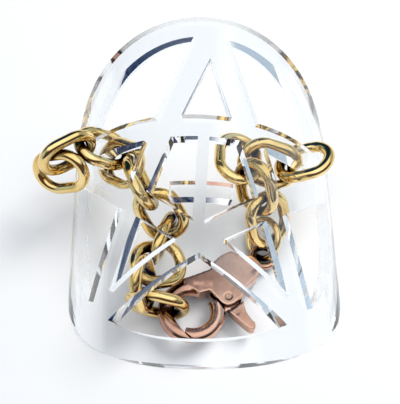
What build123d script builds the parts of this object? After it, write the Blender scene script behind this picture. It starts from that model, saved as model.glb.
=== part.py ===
"""Clear acrylic cuff bracelet with star cut-outs, a cable chain and a lobster clasp.

Frame: +X to the wearer's right along the width of the arch, +Y along the axis of
the bend, +Z up.  The origin lies on the table under the middle of the arch.
Units are millimetres.
"""

import math
import os

from build123d import *

os.makedirs("parts", exist_ok=True)

# ---------------------------------------------------------------- plate sizes
SHEET = 3.0
OUTER_RADIUS = 35.4
INNER_RADIUS = OUTER_RADIUS - SHEET
MID_RADIUS = OUTER_RADIUS - SHEET / 2
AXIS_DROP = 2.05              # the bend axis lies this far below the table
DISC_HALF_ACROSS = 51.0       # flat half size of the disc, along the bend
DISC_HALF_ALONG = 47.8        # flat half size of the disc, along the axis
PATTERN_TWIST = -4.0          # the disc was turned this much before bending

RING_OPEN_ACROSS = 39.5
RING_OPEN_ALONG = 41.6
RING_OPEN_SHIFT = -0.33
STAR_RADIUS = 44.6
STAR_STRETCH = 1.05
STAR_SHIFT = -0.36
STAR_BAND = 6.4
CROSS_POST = 2.7
CROSS_ARM_LENGTH = 14.6
CROSS_ARM_WIDTH = 4.4
CROSS_ARM_HEIGHT = -4.6

# ---------------------------------------------------------------- chain sizes
LINK_LENGTH = 16.3
LINK_WIDTH = 12.7
LINK_WIRE = 2.9
JUMP_RING_RADIUS = 5.0
JUMP_RING_WIRE = 1.8


# ------------------------------------------------------------------- plate
def wrap_direction(angle):
    """Unit vector from the bend axis towards the sheet at this bend angle."""
    return Vector(math.sin(angle), 0, math.cos(angle))


def bent_points(edge):
    """Evenly spread points of a flat edge as pairs: bend angle, distance along the axis."""
    count = max(8, round(edge.length / 4))
    return [((edge @ (i / count)).X / MID_RADIUS, (edge @ (i / count)).Y) for i in range(count + 1)]


def radial_block(boundary, inner, outer):
    """Solid whose walls are normal to the bent sheet.

    boundary is a list of edges of the flat pattern, in order; each wall is
    the edge drawn out along the radii of the bend, between two planes that
    stand square to the block's middle direction.
    """
    outline = [bent_points(edge) for edge in boundary]
    angles = [angle for edge in outline for angle, along in edge]
    middle = (min(angles) + max(angles)) / 2
    facing = wrap_direction(middle)
    sideways = Vector(math.cos(middle), 0, -math.sin(middle))
    with BuildPart() as block:
        for reach in (inner, outer):
            seat = Plane(
                origin=Vector(0, 0, -AXIS_DROP) + facing * reach,
                x_dir=sideways,
                z_dir=facing,
            )
            with BuildSketch(seat):
                with BuildLine():
                    for edge in outline:
                        points = [(reach * math.tan(a - middle), v) for a, v in edge]
                        steps = [i / (len(edge) - 1) for i in range(len(edge))]
                        add(Edge.make_spline([Vector(x, y) for x, y in points], parameters=steps))
                make_face()
        loft(ruled=True)
    return block.part


def ordered_edges(face):
    """Outer edges of a flat face, one after another, all running one way."""
    edges = list(face.outer_wire().order_edges())
    chained = [edges[0]]
    if len(edges) > 1:
        joint_gap = min((edges[0] @ 1 - edges[1] @ t).length for t in (0, 1))
        if joint_gap > 1e-4:
            chained[0] = edges[0].reversed()
    for edge in edges[1:]:
        chained.append(edge if (edge @ 0 - chained[-1] @ 1).length < 1e-4 else edge.reversed())
    return chained


with BuildSketch(Plane.XY.rotated((0, 0, PATTERN_TWIST))) as disc_outline:
    Ellipse(DISC_HALF_ACROSS, DISC_HALF_ALONG)

with BuildSketch(Plane.XY.rotated((0, 0, PATTERN_TWIST))) as openings:
    with Locations((0, RING_OPEN_SHIFT)):
        Ellipse(RING_OPEN_ACROSS, RING_OPEN_ALONG)
    tips = [
        Vector(
            STAR_STRETCH * STAR_RADIUS * math.cos(math.radians(90 + 72 * k)),
            STAR_RADIUS * math.sin(math.radians(90 + 72 * k)) + STAR_SHIFT,
        )
        for k in range(5)
    ]
    for k in range(5):
        start, end = tips[k], tips[(k + 2) % 5]
        slope = math.degrees(math.atan2(end.Y - start.Y, end.X - start.X))
        with Locations(Location((start + end) / 2, (0, 0, slope))):
            Rectangle((end - start).length + 30, STAR_BAND, mode=Mode.SUBTRACT)
    with Locations((-0.4, -1.5)):
        Rectangle(CROSS_POST, 29, mode=Mode.SUBTRACT)
    with Locations((-0.3, CROSS_ARM_HEIGHT)):
        Rectangle(CROSS_ARM_LENGTH, CROSS_ARM_WIDTH, mode=Mode.SUBTRACT)

with BuildPart() as disc_blank:
    for side in (-1, 1):
        with BuildSketch() as half:
            add(disc_outline.sketch)
            with Locations((side * 60, 0)):
                Rectangle(120, 120, mode=Mode.INTERSECT)
        add(radial_block(ordered_edges(half.face()), inner=20, outer=40))

with BuildPart() as plate:
    with BuildSketch(Plane(origin=(0, 0, -AXIS_DROP), x_dir=(1, 0, 0), z_dir=(0, -1, 0))):
        Circle(OUTER_RADIUS)
        Circle(INNER_RADIUS, mode=Mode.SUBTRACT)
    extrude(amount=60, both=True)
    add(disc_blank.part, mode=Mode.INTERSECT)
    for opening in openings.sketch.faces():
        add(radial_block(ordered_edges(opening), inner=24, outer=38), mode=Mode.SUBTRACT)
plate.part.label = "clear_cuff_plate"
export_step(plate.part, "parts/clear_cuff_plate.step")




# ------------------------------------------------------------------- clasp
CLAW_RADIUS = 6.6             # centre line of the claw ring
CLAW_TUBE = 4.2
GATE_TUBE = 4.0
GATE_PIVOT = (9.4, -3.2)
GATE_REACH = 14.9             # pivot to the gate's tip
BODY_THICKNESS = 4.2
SLOT_THICKNESS = 2.3
GATE_WEB = 2.1
RIVET_RADIUS = 0.8
EYE_CENTRE = 25.2
EYE_RADIUS = 2.9
EYE_TUBE = 1.8


def seat(origin, heading, pitch=0, roll=0):
    """Place: turn about Z by heading, then about the new Y, then about the new X."""
    return (
        Location(origin)
        * Location((0, 0, 0), (0, 0, heading))
        * Location((0, 0, 0), (0, pitch, 0))
        * Location((0, 0, 0), (roll, 0, 0))
    )


CLASP_SEAT = seat((-3.2, -24.4, 5.4), heading=40.2, pitch=5.5)

with BuildPart() as claw:
    with BuildSketch() as body_outline:
        with BuildLine():
            Spline((2.6, 8.3), (6.3, 7.0), (11.0, 5.6))
            Spline((11.0, 5.6), (14.2, 6.4), (18.4, 5.7))
            Spline((18.4, 5.7), (19.8, 3.4), (22.4, 2.2))
            Line((22.4, 2.2), (22.4, -2.2))
            Spline((22.4, -2.2), (20.4, -3.2), (18.6, -4.2))
            Line((18.6, -4.2), (15.0, -4.4))
            Spline((15.0, -4.4), (13.6, -4.9), (12.0, -5.7))
            Line((12.0, -5.7), (9.4, -5.6))
            Spline((9.4, -5.6), (7.4, -4.6), (6.9, -2.6))
            Line((6.9, -2.6), (6.9, 1.0))
            Line((6.9, 1.0), (4.3, 2.1))
            Line((4.3, 2.1), (2.6, 8.3))
        make_face()
    extrude(amount=BODY_THICKNESS / 2, both=True)
    with BuildLine():
        curl = CenterArc((0, 0), CLAW_RADIUS, 25, 210)
    with BuildSketch(Plane(origin=curl @ 0, z_dir=curl % 0)):
        Circle(CLAW_TUBE / 2)
    sweep(path=curl)
    with BuildSketch() as tip_relief:
        with Locations(GATE_PIVOT):
            Circle(GATE_REACH + 0.2)
        with Locations((-5.0, -4.0)):
            Rectangle(6.4, 10.2, mode=Mode.INTERSECT)
    extrude(amount=BODY_THICKNESS, both=True, mode=Mode.SUBTRACT)
    with BuildSketch() as gate_slot:
        with Locations(GATE_PIVOT):
            Circle(3.1)
        with Locations((6.2, -3.6)):
            Rectangle(6.4, 8.8)
        with Locations((8.0, -5.6)):
            Rectangle(8.0, 4.8)
    extrude(amount=SLOT_THICKNESS / 2, both=True, mode=Mode.SUBTRACT)
    with Locations(GATE_PIVOT):
        Cylinder(RIVET_RADIUS, BODY_THICKNESS + 1, mode=Mode.SUBTRACT)
    with BuildSketch(Plane.XZ.offset(0)) as eye_wire:
        with Locations((EYE_CENTRE + EYE_RADIUS, 0)):
            Circle(EYE_TUBE / 2)
    revolve(axis=Axis((EYE_CENTRE, 0, 0), (0, 0, 1)))

with BuildPart() as gate:
    with BuildLine():
        swing = CenterArc((0, 0), CLAW_RADIUS, 212, 136)
    with BuildSketch(Plane(origin=swing @ 0, z_dir=swing % 0)):
        Circle(GATE_TUBE / 2)
    sweep(path=swing)
    with BuildSketch() as within_reach:
        with Locations(GATE_PIVOT):
            Circle(GATE_REACH)
    extrude(amount=GATE_TUBE, both=True, mode=Mode.INTERSECT)
    with BuildSketch() as thumb_lever:
        with BuildLine():
            Spline((6.9, -6.4), (7.2, -9.6), (7.6, -12.6))
            Spline((7.6, -12.6), (8.6, -13.9), (9.9, -12.8))
            Spline((9.9, -12.8), (10.2, -9.4), (11.9, -6.4))
            Line((11.9, -6.4), (6.9, -6.4))
        make_face()
    extrude(amount=1.5, both=True)
    for side in (-1, 1):
        with BuildSketch(Plane.XY.offset(side * GATE_WEB / 2)):
            with BuildLine():
                Polyline(
                    (6.5, -6.2), (6.4, -2.6), (5.3, 0.4), (4.6, 3.0), (15.0, 3.0), (15.0, -6.2), close=True
                )
            make_face()
        extrude(amount=side * 4, mode=Mode.SUBTRACT)
    with BuildSketch():
        with Locations(GATE_PIVOT):
            Circle(2.5)
        with Locations((7.4, -3.6)):
            Rectangle(3.6, 4.4)
        with Locations((9.2, -5.4)):
            Rectangle(3.6, 3.0)
    extrude(amount=GATE_WEB / 2, both=True)
    with Locations(GATE_PIVOT):
        Cylinder(RIVET_RADIUS + 0.05, 6, mode=Mode.SUBTRACT)
    with Locations((*GATE_PIVOT, -0.55)):
        Cylinder(1.75, 1.1, mode=Mode.SUBTRACT)

with BuildPart() as rivet:
    with Locations(GATE_PIVOT):
        Cylinder(RIVET_RADIUS, BODY_THICKNESS)

with BuildPart() as spring:
    with BuildLine(Plane((*GATE_PIVOT, -0.85))):
        coil = Helix(pitch=0.36, height=0.72, radius=1.35)
    with BuildSketch(Plane(origin=coil @ 0, z_dir=coil % 0)):
        Circle(0.14)
    sweep(path=coil, is_frenet=True)

CLASP_PIECES = {
    "clasp_body": claw,
    "clasp_gate": gate,
    "clasp_pivot_rivet": rivet,
    "clasp_gate_spring": spring,
}
for name, piece in CLASP_PIECES.items():
    with BuildPart() as placed:
        with Locations(CLASP_SEAT):
            add(piece.part)
    placed.part.label = name
    export_step(placed.part, f"parts/{name}.step")


# ------------------------------------------------------------------- chain
def oval_link():
    """One oval link: a round wire bent round a slot shape, long side along X."""
    straight = LINK_LENGTH - LINK_WIDTH
    bend = (LINK_WIDTH - LINK_WIRE) / 2
    with BuildPart() as link:
        with BuildLine() as spine:
            Line((-straight / 2, bend), (straight / 2, bend))
            CenterArc((straight / 2, 0), bend, 90, -180)
            Line((straight / 2, -bend), (-straight / 2, -bend))
            CenterArc((-straight / 2, 0), bend, -90, -180)
        with BuildSketch(Plane(origin=(0, bend, 0), x_dir=(0, 1, 0), z_dir=(1, 0, 0))):
            Circle(LINK_WIRE / 2)
        sweep(path=spine.wire())
    return link.part


def round_ring():
    """The jump ring that ties the chain to the clasp's tail."""
    with BuildPart() as ring:
        Torus(JUMP_RING_RADIUS, JUMP_RING_WIRE / 2)
    return ring.part


# Where each link hangs or lies: centre, then heading, pitch and roll in degrees.
CHAIN = {
    "left_link_1": ((-25.7, 15.5, 20.2), -1, 28, -11),
    "left_link_2": ((-20.0, 10.5, 19.8), -43, -29, 37),
    "left_link_3": ((-15.6, 4.8, 19.9), -62, 22, -65),
    "left_link_4": ((-10.5, -1.5, 14.7), -52, 50, -141),
    "left_link_5": ((-10.3, -7.0, 11.4), -110, -27, -95),
    "left_link_6": ((-11.5, -14.1, 12.1), 23, 28, 13),
    "left_link_7": ((-14.7, -20.7, 14.8), 122, -77, -134),
    "left_link_8": ((-11.7, -23.2, 7.6), -8, 20, 88),
    "tail_link_1": ((-34.3, 12.1, 23.6), -149, 0, -86),
    "tail_link_2": ((-36.3, 9.0, 19.6), -10, -26, -117),
    "right_link_1": ((26.5, 11.3, 18.9), -179, 23, -164),
    "right_link_2": ((17.1, 11.4, 17.0), 166, -14, 137),
    "right_link_3": ((9.2, 11.9, 19.5), -93, -12, 160),
    "right_link_4": ((13.4, 3.8, 18.0), -73, 50, -121),
    "right_link_5": ((16.7, -1.6, 10.9), -63, 58, -7),
    "jump_ring": ((15.8, -4.1, 4.9), -88, 26, -133),
}
for name, (centre, heading, pitch, roll) in CHAIN.items():
    with BuildPart() as placed:
        with Locations(seat(centre, heading, pitch, roll)):
            add(round_ring() if name == "jump_ring" else oval_link())
    placed.part.label = name
    export_step(placed.part, f"parts/{name}.step")
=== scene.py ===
"""Looks of the clear acrylic cuff bracelet with its gold chain and rose-gold clasp.

Lengths below are in millimetres and become metres through MM.
"""

import math

import bmesh
import bpy
from mathutils import Matrix, Vector


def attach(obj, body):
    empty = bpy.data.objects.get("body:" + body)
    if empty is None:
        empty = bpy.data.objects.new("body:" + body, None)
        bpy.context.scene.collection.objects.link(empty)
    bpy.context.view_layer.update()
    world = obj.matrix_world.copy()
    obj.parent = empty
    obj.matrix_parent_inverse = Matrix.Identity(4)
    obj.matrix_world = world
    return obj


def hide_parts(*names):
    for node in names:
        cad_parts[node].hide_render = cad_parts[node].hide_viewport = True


MM = 0.001

# Acrylic sheet: the same driving sizes as the CAD plate.
SHEET = 3.0
OUTER_RADIUS = 35.4
MID_RADIUS = OUTER_RADIUS - SHEET / 2
AXIS_DROP = 2.05
DISC_HALF_ACROSS = 51.0
DISC_HALF_ALONG = 47.8
PATTERN_TWIST = math.radians(-4.0)
RING_OPEN_ACROSS = 39.5
RING_OPEN_ALONG = 41.6
RING_OPEN_SHIFT = -0.33
STAR_RADIUS = 44.6
STAR_STRETCH = 1.05
STAR_SHIFT = -0.36
STAR_BAND = 6.4
CROSS_POST = 2.7
CROSS_ARM_LENGTH = 14.6
CROSS_ARM_WIDTH = 4.4
CROSS_ARM_HEIGHT = -4.6
CROSS_POST_SHIFT = -0.4
CROSS_ARM_SHIFT = -0.3
CROSS_POST_BOTTOM = -16.0
CROSS_POST_TOP = 13.0
BEND_STEP = 0.8               # spacing of the mesh columns along the bend
SHARP_ANGLE = math.radians(28)

# Camera of the photograph's view.
CAMERA_PLACE = Vector((-3.153, -109.829, 217.719)) * MM
CAMERA_DOWN = math.radians(61.106)
CAMERA_YAW = math.radians(-1.26)
CAMERA_ROLL = math.radians(0.29)
CAMERA_LENS = 80.78
SENSOR_WIDTH = 36.0

# Metals: colours of the painted shade in crevices, at the dark and the light end of the drift, polish and
# relief.
CREVICE_SHADE_REACH = 5.0           # how far the ambient occlusion reaches for the painted crevice shade
CREVICE_SHADE_RANGE = (0.38, 0.88)  # openness from crevice to open surface, which sets how much painted shade is laid on
GOLD_LOOK = {
    "crevice_shade": (0.05, 0.018, 0.002),
    "dark": (0.74, 0.48, 0.14),
    "light": (1.0, 0.78, 0.38),
    "rough": (0.03, 0.11),
    "grain_scale": 700.0,
    "relief": 0.1,
}
ROSE_LOOK = {
    "crevice_shade": (0.035, 0.01, 0.006),
    "dark": (0.46, 0.235, 0.165),
    "light": (0.78, 0.5, 0.375),
    "rough": (0.04, 0.16),
    "grain_scale": 700.0,
    "relief": 0.12,
}
STEEL_LOOK = {
    "crevice_shade": (0.1, 0.1, 0.1),
    "dark": (0.5, 0.5, 0.5),
    "light": (0.7, 0.7, 0.7),
    "rough": (0.2, 0.35),
    "grain_scale": 900.0,
    "relief": 0.1,
}

# Softening of the cast clasp pieces: voxel size and smoothing rounds.
CAST_VOXEL = 0.16
BODY_ROUNDS = 10
GATE_ROUNDS = 8

# Stage and light, in metres and watts.
FLOOR_REACH = 6.0
FLOOR_COLOUR = (0.94, 0.95, 0.96)
KEY_PLACE = (0.35, 0.3, 0.6)
KEY_WIDTH = 0.35
KEY_POWER = 3.2
KEY_TINT = (1.0, 0.98, 0.95)

# Surroundings. A patch has a direction, inner and outer angles in degrees and a colour.
BACKDROP = (0.93, 0.95, 0.97)
WORLD_BASE = (0.07, 0.06, 0.055)
WORLD_STRENGTH = 1.1
WORLD_PATCHES = [
    ((0.0, 0.1, 1.0), 40, 60, (1.18, 1.2, 1.22)),
    ((0.8, 0.55, 0.2), 24, 40, (0.42, 0.52, 0.62)),
    ((-0.95, -0.3, 0.25), 16, 30, (0.45, 0.58, 0.7)),
    ((-0.42, 0.83, 0.42), 40, 52, (0.006, 0.03, 0.095)),
    ((0.15, -0.95, 0.22), 16, 32, (0.10, 0.045, 0.035)),
    ((0.0, -0.8, -0.1), 10, 24, (0.01, 0.03, 0.10)),
]


# ------------------------------------------------------------------ materials
def new_material(name):
    """An empty node material with its Principled shader."""
    material = bpy.data.materials.new(name)
    material.use_nodes = True
    tree = material.node_tree
    return material, tree, tree.nodes["Principled BSDF"]


def noise(tree, scale, detail):
    """Noise in object space, for grain that stays with the piece."""
    place = tree.nodes.new("ShaderNodeTexCoord")
    grain = tree.nodes.new("ShaderNodeTexNoise")
    grain.inputs["Scale"].default_value = scale
    grain.inputs["Detail"].default_value = detail
    tree.links.new(place.outputs["Object"], grain.inputs["Vector"])
    return grain.outputs["Fac"]


def ramp(tree, value, stops):
    """Colour ramp fed by value; stops is a list of (position, colour)."""
    node = tree.nodes.new("ShaderNodeValToRGB")
    elements = node.color_ramp.elements
    while len(elements) < len(stops):
        elements.new(0.5)
    for element, (position, colour) in zip(elements, stops):
        element.position = position
        element.color = (*colour, 1)
    tree.links.new(value, node.inputs["Fac"])
    return node.outputs["Color"]


def remap(tree, value, low, high, start=0.3, end=0.7):
    """Value from start..end spread over low..high."""
    node = tree.nodes.new("ShaderNodeMapRange")
    node.inputs["From Min"].default_value = start
    node.inputs["From Max"].default_value = end
    node.inputs["To Min"].default_value = low
    node.inputs["To Max"].default_value = high
    tree.links.new(value, node.inputs["Value"])
    return node.outputs["Result"]


def bump(tree, shader, value, strength, distance):
    """Surface relief from a value."""
    node = tree.nodes.new("ShaderNodeBump")
    node.inputs["Strength"].default_value = strength
    node.inputs["Distance"].default_value = distance * MM
    tree.links.new(value, node.inputs["Height"])
    tree.links.new(node.outputs["Normal"], shader.inputs["Normal"])


def acrylic():
    """Clear cast acrylic with a trace of handling haze."""
    material, tree, shader = new_material("clear_acrylic")
    shader.inputs["Base Color"].default_value = (0.965, 0.985, 1.0, 1)
    shader.inputs["Transmission Weight"].default_value = 1.0
    shader.inputs["IOR"].default_value = 1.49
    haze = noise(tree, 260.0, 4.0)
    tree.links.new(remap(tree, haze, 0.0, 0.03), shader.inputs["Roughness"])
    bump(tree, shader, noise(tree, 60.0, 2.0), 0.02, 0.2)
    return material


def metal(name, crevice_shade, dark, light, rough, grain_scale, relief):
    """Plated metal: slight colour drift, uneven polish, fine relief and painted shade that darkens the
    crevices.
    """
    material, tree, shader = new_material(name)
    shader.inputs["Metallic"].default_value = 1.0
    drift = noise(tree, 120.0, 4.0)
    colour = ramp(tree, drift, [(0.3, dark), (0.7, light)])
    # Painted shade: ambient occlusion mixes the base colour towards the dark crevice colour where parts crowd
    # close together.
    occlusion_shade = tree.nodes.new("ShaderNodeAmbientOcclusion")
    occlusion_shade.inputs["Distance"].default_value = CREVICE_SHADE_REACH * MM
    openness = remap(tree, occlusion_shade.outputs["AO"], 0.0, 1.0, *CREVICE_SHADE_RANGE)
    shade = tree.nodes.new("ShaderNodeMix")
    shade.data_type = "RGBA"
    shade.inputs["A"].default_value = (*crevice_shade, 1)
    tree.links.new(openness, shade.inputs["Factor"])
    tree.links.new(colour, shade.inputs["B"])
    tree.links.new(shade.outputs["Result"], shader.inputs["Base Color"])
    polish = noise(tree, grain_scale, 5.0)
    tree.links.new(remap(tree, polish, *rough), shader.inputs["Roughness"])
    bump(tree, shader, polish, relief, 0.05)
    return material


# ---------------------------------------------------------------------- plate
def prism(name, outline, half_height):
    """Closed straight prism over a flat outline, in millimetres."""
    mesh = bpy.data.meshes.new(name)
    count = len(outline)
    low = [(x, y, -half_height) for x, y in outline]
    high = [(x, y, half_height) for x, y in outline]
    sides = [(i, (i + 1) % count, (i + 1) % count + count, i + count) for i in range(count)]
    mesh.from_pydata(low + high, [], [tuple(reversed(range(count))), tuple(range(count, 2 * count)), *sides])
    piece = bpy.data.objects.new(name, mesh)
    bpy.context.collection.objects.link(piece)
    return piece


def ellipse(half_x, half_y, shift_y=0.0, count=320):
    """Points of an ellipse."""
    turns = [2 * math.pi * i / count for i in range(count)]
    return [(half_x * math.cos(t), half_y * math.sin(t) + shift_y) for t in turns]


def strip(start, end, width, overrun=15.0):
    """Corners of a straight strip that runs past both its ends."""
    start, end = Vector(start), Vector(end)
    along = (end - start).normalized()
    across = Vector((-along.y, along.x)) * width / 2
    start, end = start - along * overrun, end + along * overrun
    return [tuple(p) for p in (start - across, end - across, end + across, start + across)]


def cut(piece, tool):
    """Takes tool away from piece and deletes tool."""
    modifier = piece.modifiers.new("cut", "BOOLEAN")
    modifier.operation = "DIFFERENCE"
    modifier.solver = "EXACT"
    modifier.object = tool
    graph = bpy.context.evaluated_depsgraph_get()
    mesh = bpy.data.meshes.new_from_object(piece.evaluated_get(graph))
    piece.modifiers.clear()
    piece.data = mesh
    bpy.data.objects.remove(tool)


def star_tips():
    """The five tips of the star."""
    turns = [math.radians(90 + 72 * k) for k in range(5)]
    return [(STAR_STRETCH * STAR_RADIUS * math.cos(t), STAR_RADIUS * math.sin(t) + STAR_SHIFT) for t in turns]


def flat_plate():
    """The disc before bending, with its openings cut."""
    openings = prism("openings", ellipse(RING_OPEN_ACROSS, RING_OPEN_ALONG, RING_OPEN_SHIFT), SHEET)
    tips = star_tips()
    for k in range(5):
        cut(openings, prism("band", strip(tips[k], tips[(k + 2) % 5], STAR_BAND), 2 * SHEET))
    foot = (CROSS_POST_SHIFT, CROSS_POST_BOTTOM)
    head = (CROSS_POST_SHIFT, CROSS_POST_TOP)
    cut(openings, prism("post", strip(foot, head, CROSS_POST, 0), 2 * SHEET))
    half = CROSS_ARM_LENGTH / 2
    left_end = (CROSS_ARM_SHIFT - half, CROSS_ARM_HEIGHT)
    right_end = (CROSS_ARM_SHIFT + half, CROSS_ARM_HEIGHT)
    arm = strip(left_end, right_end, CROSS_ARM_WIDTH, 0)
    cut(openings, prism("arm", arm, 2 * SHEET))
    plate = prism("cuff_plate", ellipse(DISC_HALF_ACROSS, DISC_HALF_ALONG, count=480), SHEET / 2)
    cut(plate, openings)
    return plate


def bend(plate):
    """Twists the flat pattern, slices it into columns and wraps it round the arch."""
    mesh = bmesh.new()
    mesh.from_mesh(plate.data)
    bmesh.ops.rotate(mesh, verts=mesh.verts, cent=(0, 0, 0), matrix=Matrix.Rotation(PATTERN_TWIST, 3, "Z"))
    columns = int(DISC_HALF_ACROSS / BEND_STEP) + 1
    for k in range(-columns, columns + 1):
        everything = mesh.verts[:] + mesh.edges[:] + mesh.faces[:]
        bmesh.ops.bisect_plane(
            mesh, geom=everything, dist=1e-5, plane_co=(k * BEND_STEP, 0, 0), plane_no=(1, 0, 0)
        )
    for vertex in mesh.verts:
        angle = vertex.co.x / MID_RADIUS
        radius = MID_RADIUS + vertex.co.z
        place = (radius * math.sin(angle), vertex.co.y, radius * math.cos(angle) - AXIS_DROP)
        vertex.co = Vector(place) * MM
    bmesh.ops.recalc_face_normals(mesh, faces=mesh.faces)
    for face in mesh.faces:
        face.smooth = True
    mesh.to_mesh(plate.data)
    mesh.free()
    plate.data.set_sharp_from_angle(angle=SHARP_ANGLE)


def make_plate(material):
    """The bent sheet, built fine enough to bend light smoothly."""
    plate = flat_plate()
    bend(plate)
    plate.data.materials.clear()
    plate.data.materials.append(material)
    plate.visible_shadow = False
    plate.visible_diffuse = False
    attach(plate, "cuff")
    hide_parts("clear_cuff_plate")


# ---------------------------------------------------------------------- metal
def cast_copy(node, body, material, rounds):
    """A softened copy of a CAD node, with the rounded edges of a casting."""
    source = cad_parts[node]
    piece = bpy.data.objects.new(node + "_cast", source.data.copy())
    bpy.context.collection.objects.link(piece)
    remesh = piece.modifiers.new("remesh", "REMESH")
    remesh.mode = "VOXEL"
    remesh.voxel_size = CAST_VOXEL * MM
    remesh.use_smooth_shade = True
    smooth = piece.modifiers.new("soften", "SMOOTH")
    smooth.factor = 0.5
    smooth.iterations = rounds
    graph = bpy.context.evaluated_depsgraph_get()
    mesh = bpy.data.meshes.new_from_object(piece.evaluated_get(graph))
    piece.modifiers.clear()
    piece.data = mesh
    mesh.materials.clear()
    mesh.materials.append(material)
    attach(piece, body)
    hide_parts(node)


# ---------------------------------------------------------------------- stage
def make_floor():
    """A plain pale floor far wider than the bracelet."""
    mesh = bpy.data.meshes.new("floor")
    signs = [(-1, -1), (1, -1), (1, 1), (-1, 1)]
    corners = [(FLOOR_REACH * x, FLOOR_REACH * y, 0) for x, y in signs]
    mesh.from_pydata(corners, [], [(0, 1, 2, 3)])
    floor = bpy.data.objects.new("floor", mesh)
    bpy.context.collection.objects.link(floor)
    material, _, shader = new_material("pale_floor")
    shader.inputs["Base Color"].default_value = (*FLOOR_COLOUR, 1)
    shader.inputs["Roughness"].default_value = 0.9
    shader.inputs["Specular IOR Level"].default_value = 0.1
    mesh.materials.append(material)


def patch(tree, colour, direction, inner, outer, tint):
    """Lays a soft round patch of tint over colour, or over WORLD_BASE where colour is None."""
    place = tree.nodes.new("ShaderNodeTexCoord")
    facing = tree.nodes.new("ShaderNodeVectorMath")
    facing.operation = "DOT_PRODUCT"
    facing.inputs[1].default_value = Vector(direction).normalized()
    tree.links.new(place.outputs["Generated"], facing.inputs[0])
    edge = tree.nodes.new("ShaderNodeMapRange")
    edge.interpolation_type = "SMOOTHSTEP"
    edge.inputs["From Min"].default_value = math.cos(math.radians(outer))
    edge.inputs["From Max"].default_value = math.cos(math.radians(inner))
    tree.links.new(facing.outputs["Value"], edge.inputs["Value"])
    mix = tree.nodes.new("ShaderNodeMix")
    mix.data_type = "RGBA"
    mix.inputs["B"].default_value = (*tint, 1)
    tree.links.new(edge.outputs["Result"], mix.inputs["Factor"])
    if colour is None:
        mix.inputs["A"].default_value = (*WORLD_BASE, 1)
    else:
        tree.links.new(colour, mix.inputs["A"])
    return mix.outputs["Result"]


def make_world():
    """Studio with bright and dark parts for the reflections; the camera itself sees it plain and pale."""
    world = bpy.data.worlds.new("studio")
    bpy.context.scene.world = world
    world.use_nodes = True
    tree = world.node_tree
    background = tree.nodes["Background"]
    colour = None
    for direction, inner, outer, tint in WORLD_PATCHES:
        colour = patch(tree, colour, direction, inner, outer, tint)
    tree.links.new(colour, background.inputs["Color"])
    background.inputs["Strength"].default_value = WORLD_STRENGTH
    plain = tree.nodes.new("ShaderNodeBackground")
    plain.inputs["Color"].default_value = (*BACKDROP, 1)
    path = tree.nodes.new("ShaderNodeLightPath")
    choose = tree.nodes.new("ShaderNodeMixShader")
    tree.links.new(path.outputs["Is Camera Ray"], choose.inputs["Fac"])
    tree.links.new(background.outputs["Background"], choose.inputs[1])
    tree.links.new(plain.outputs["Background"], choose.inputs[2])
    tree.links.new(choose.outputs["Shader"], tree.nodes["World Output"].inputs["Surface"])


def make_key_light():
    """A large soft light aimed at the bracelet, kept out of its reflections."""
    data = bpy.data.lights.new("key", "AREA")
    data.shape = "SQUARE"
    data.size = KEY_WIDTH
    data.energy = KEY_POWER
    data.color = KEY_TINT
    lamp = bpy.data.objects.new("key", data)
    bpy.context.collection.objects.link(lamp)
    lamp.visible_glossy = False
    lamp.visible_transmission = False
    lamp.location = KEY_PLACE
    lamp.rotation_euler = (-Vector(KEY_PLACE)).to_track_quat("-Z", "Y").to_euler()


def make_camera():
    """The photograph's view."""
    data = bpy.data.cameras.new("view")
    data.lens = CAMERA_LENS
    data.sensor_fit = "HORIZONTAL"
    data.sensor_width = SENSOR_WIDTH
    data.clip_start = 0.01
    data.clip_end = 50
    camera = bpy.data.objects.new("view", data)
    bpy.context.collection.objects.link(camera)
    turn = Matrix.Rotation(CAMERA_YAW, 3, "Z")
    forward = turn @ Vector((0, math.cos(CAMERA_DOWN), -math.sin(CAMERA_DOWN)))
    up = turn @ Vector((0, math.sin(CAMERA_DOWN), math.cos(CAMERA_DOWN)))
    right = turn @ Vector((1, 0, 0))
    rolled_right = right * math.cos(CAMERA_ROLL) + up * math.sin(CAMERA_ROLL)
    rolled_up = up * math.cos(CAMERA_ROLL) - right * math.sin(CAMERA_ROLL)
    basis = Matrix((rolled_right, rolled_up, -forward)).transposed().to_4x4()
    camera.matrix_world = Matrix.Translation(CAMERA_PLACE) @ basis
    bpy.context.scene.camera = camera


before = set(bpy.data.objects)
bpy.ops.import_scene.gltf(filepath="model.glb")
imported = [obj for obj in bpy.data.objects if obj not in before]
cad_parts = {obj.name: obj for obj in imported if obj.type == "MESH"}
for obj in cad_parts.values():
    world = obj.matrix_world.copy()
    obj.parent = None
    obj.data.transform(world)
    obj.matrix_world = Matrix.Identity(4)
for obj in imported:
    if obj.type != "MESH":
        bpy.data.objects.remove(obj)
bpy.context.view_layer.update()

CLEAR = acrylic()
GOLD = metal("yellow_gold", **GOLD_LOOK)
ROSE = metal("rose_gold", **ROSE_LOOK)
STEEL = metal("spring_steel", **STEEL_LOOK)

make_plate(CLEAR)
cast_copy("clasp_body", "clasp", ROSE, BODY_ROUNDS)
cast_copy("clasp_gate", "gate", ROSE, GATE_ROUNDS)

NODE_LOOKS = {"clasp_pivot_rivet": ROSE, "clasp_gate_spring": STEEL}
for name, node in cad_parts.items():
    look = NODE_LOOKS.get(name, GOLD if "link" in name or name == "jump_ring" else None)
    if look:
        node.data.materials.clear()
        node.data.materials.append(look)

make_floor()
make_world()
make_key_light()
make_camera()

scene = bpy.context.scene
scene.view_settings.view_transform = "Standard"
scene.cycles.max_bounces = 32
scene.cycles.transmission_bounces = 32
scene.cycles.glossy_bounces = 16
